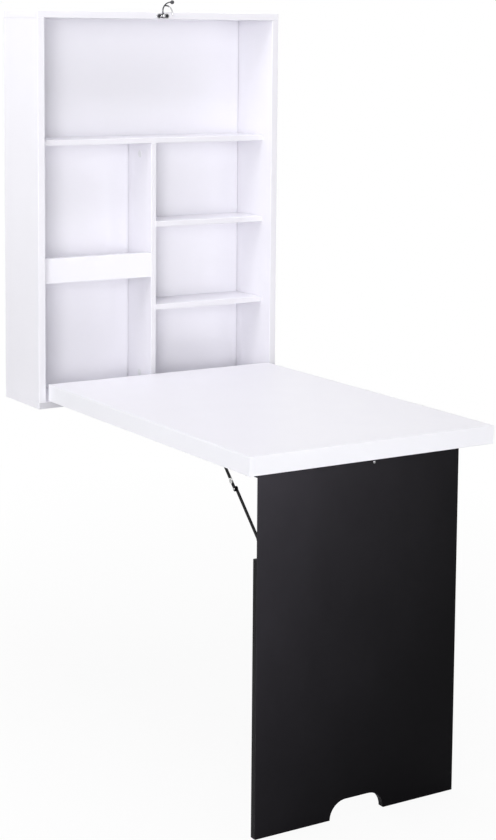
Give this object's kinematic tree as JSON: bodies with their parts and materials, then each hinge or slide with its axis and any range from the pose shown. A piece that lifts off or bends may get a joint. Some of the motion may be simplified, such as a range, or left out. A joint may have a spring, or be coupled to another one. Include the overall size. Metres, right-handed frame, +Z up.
{
  "type": "fold down wall desk",
  "caption": "Wall cabinet with shelves whose front folds down on butt hinges as a desk, with a folding chalkboard leg held by two-arm stays and a swivel latch.",
  "frame": {"origin": "middle of the line of screw holes in the wall cleat, on the wall plane", "axes": "+X to the right as seen from the room, +Y into the wall, +Z up"},
  "size_m": [0.6, 0.9812, 1.5595],
  "materials": {
    "white_laminate": "satin white melamine on particle board",
    "edge_band": "satin white edge band",
    "raw_board": "unfinished board",
    "beech_dowel": "plain beech",
    "zinc_fittings": "zinc plated",
    "chromed_latch": "polished",
    "dark_chrome": "dark polished",
    "black_board": "matt black board",
    "chalkboard_face": "matt charcoal chalkboard paint",
    "bright_steel": "bright",
    "black_steel": "satin black"
  },
  "bodies": {
    "cabinet": {"side_panel_left": "white_laminate", "side_panel_right": "white_laminate", "top_panel": "white_laminate", "bottom_panel": "white_laminate", "back_panel": "white_laminate", "upper_shelf": "white_laminate", "centre_divider": "white_laminate", "right_shelf_upper": "white_laminate", "right_shelf_lower": "white_laminate", "left_shelf": "white_laminate", "shelf_apron": "white_laminate", "hanging_rail": "raw_board", "wall_cleat": "raw_board", "lower_rail": "raw_board", "cam_locks": "zinc_fittings", "cam_bolts": "zinc_fittings", "dowels": "beech_dowel", "assembly_screws": "zinc_fittings", "latch_base": "chromed_latch", "latch_screws": "dark_chrome", "latch_pivot": "chromed_latch", "desk_hinge_cabinet_leaves": "zinc_fittings", "desk_hinge_pins": "zinc_fittings", "desk_hinge_cabinet_screws": "zinc_fittings"},
    "desk": {"desk_board": "white_laminate", "desk_rail_front": "white_laminate", "desk_rail_rear": "white_laminate", "desk_rail_left": "white_laminate", "desk_rail_right": "white_laminate", "desk_edge_band": "edge_band", "desk_hinge_desk_leaves": "zinc_fittings", "desk_hinge_desk_screws": "zinc_fittings", "leg_hinge_desk_leaves": "zinc_fittings", "leg_hinge_pins": "zinc_fittings", "leg_hinge_desk_screws": "zinc_fittings", "stay_desk_brackets": "black_steel", "stay_desk_rivets": "black_steel", "stay_desk_screws": "zinc_fittings"},
    "leg": {"leg_board": "black_board", "chalkboard": "chalkboard_face", "chalkboard_screw": "bright_steel", "leg_hinge_leg_leaves": "zinc_fittings", "leg_hinge_leg_screws": "zinc_fittings", "stay_leg_brackets": "black_steel", "stay_leg_rivets": "black_steel", "stay_leg_screws": "zinc_fittings"},
    "stay_upper_left": {"stay_upper_arm_left": "black_steel", "stay_elbow_rivet_left": "black_steel", "stay_lock_rivet_left": "bright_steel"},
    "stay_upper_right": {"stay_upper_arm_right": "black_steel", "stay_elbow_rivet_right": "black_steel", "stay_lock_rivet_right": "bright_steel"},
    "stay_lower_left": {"stay_lower_arm_left": "black_steel", "stay_elbow_cap_left": "bright_steel"},
    "stay_lower_right": {"stay_lower_arm_right": "black_steel", "stay_elbow_cap_right": "bright_steel"},
    "latch": {"latch_hook": "chromed_latch"}
  },
  "joints": [
    {"name": "desk_fold", "type": "hinge", "parent": "cabinet", "child": "desk", "pos_m": [0, -0.168, -0.7352], "axis": [-1, 0, 0], "range_deg": [0, 90]},
    {"name": "leg_fold", "type": "hinge", "parent": "desk", "child": "leg", "pos_m": [0, -0.917, -0.7174], "axis": [1, 0, 0], "range_deg": [0, 90]},
    {"name": "latch_turn", "type": "hinge", "parent": "cabinet", "child": "latch", "pos_m": [0, -0.1731, 0.0867], "axis": [0, 1, 0], "range_deg": [0, 180]},
    {"name": "stay_upper_pivot_left", "type": "hinge", "parent": "desk", "child": "stay_upper_left", "pos_m": [-0.2268, -0.782, -0.7249], "axis": [1, 0, 0], "range_deg": [-45.6, 0]},
    {"name": "stay_lower_pivot_left", "type": "hinge", "parent": "leg", "child": "stay_lower_left", "pos_m": [-0.2234, -0.9245, -0.8699], "axis": [1, 0, 0], "range_deg": [0, 44.6]},
    {"name": "stay_upper_pivot_right", "type": "hinge", "parent": "desk", "child": "stay_upper_right", "pos_m": [0.2268, -0.782, -0.7249], "axis": [1, 0, 0], "range_deg": [-45.6, 0]},
    {"name": "stay_lower_pivot_right", "type": "hinge", "parent": "leg", "child": "stay_lower_right", "pos_m": [0.2234, -0.9245, -0.8699], "axis": [1, 0, 0], "range_deg": [0, 44.6]}
  ],
  "couplings": [
    {"joint": "stay_upper_pivot_left", "follows": "leg_fold", "ratio": -0.50554},
    {"joint": "stay_lower_pivot_left", "follows": "leg_fold", "ratio": 0.49446},
    {"joint": "stay_upper_pivot_right", "follows": "leg_fold", "ratio": -0.50554},
    {"joint": "stay_lower_pivot_right", "follows": "leg_fold", "ratio": 0.49446}
  ]
}
